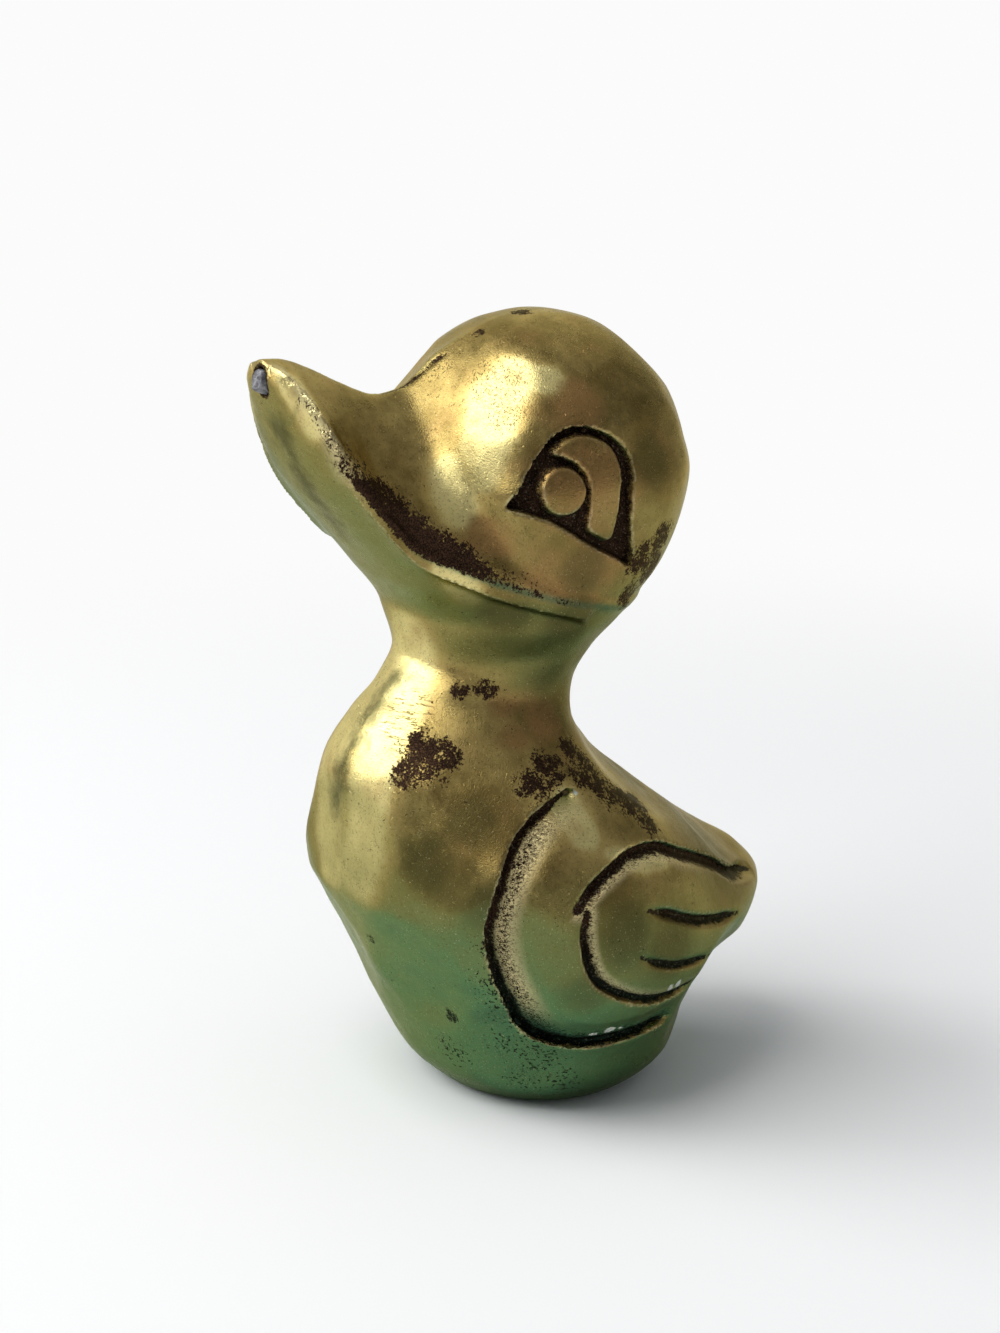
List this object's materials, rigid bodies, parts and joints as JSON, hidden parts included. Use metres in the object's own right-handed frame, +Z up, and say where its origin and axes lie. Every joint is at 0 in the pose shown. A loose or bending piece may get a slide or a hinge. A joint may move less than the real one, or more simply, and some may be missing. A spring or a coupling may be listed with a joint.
{
  "type": "brass duck",
  "caption": "Small hollow cast brass duckling, standing on its own foot, with engraved eyes and folded wings.",
  "frame": {"origin": "middle of the flat face under the foot", "axes": "+Z up, -Y the way the duck faces, +X its own left side"},
  "size_m": [0.039, 0.0512, 0.07],
  "materials": {
    "cast_brass": "aged, hand-polished",
    "braze": "filed and polished",
    "soft_metal": "dull grey",
    "plate_brass": "dull, scratched"
  },
  "bodies": {
    "root": {"left_half": "cast_brass", "right_half": "cast_brass", "seam_braze": "braze", "bill_tip_plug": "soft_metal", "base_plate": "plate_brass", "base_solder": "soft_metal"}
  },
  "joints": []
}
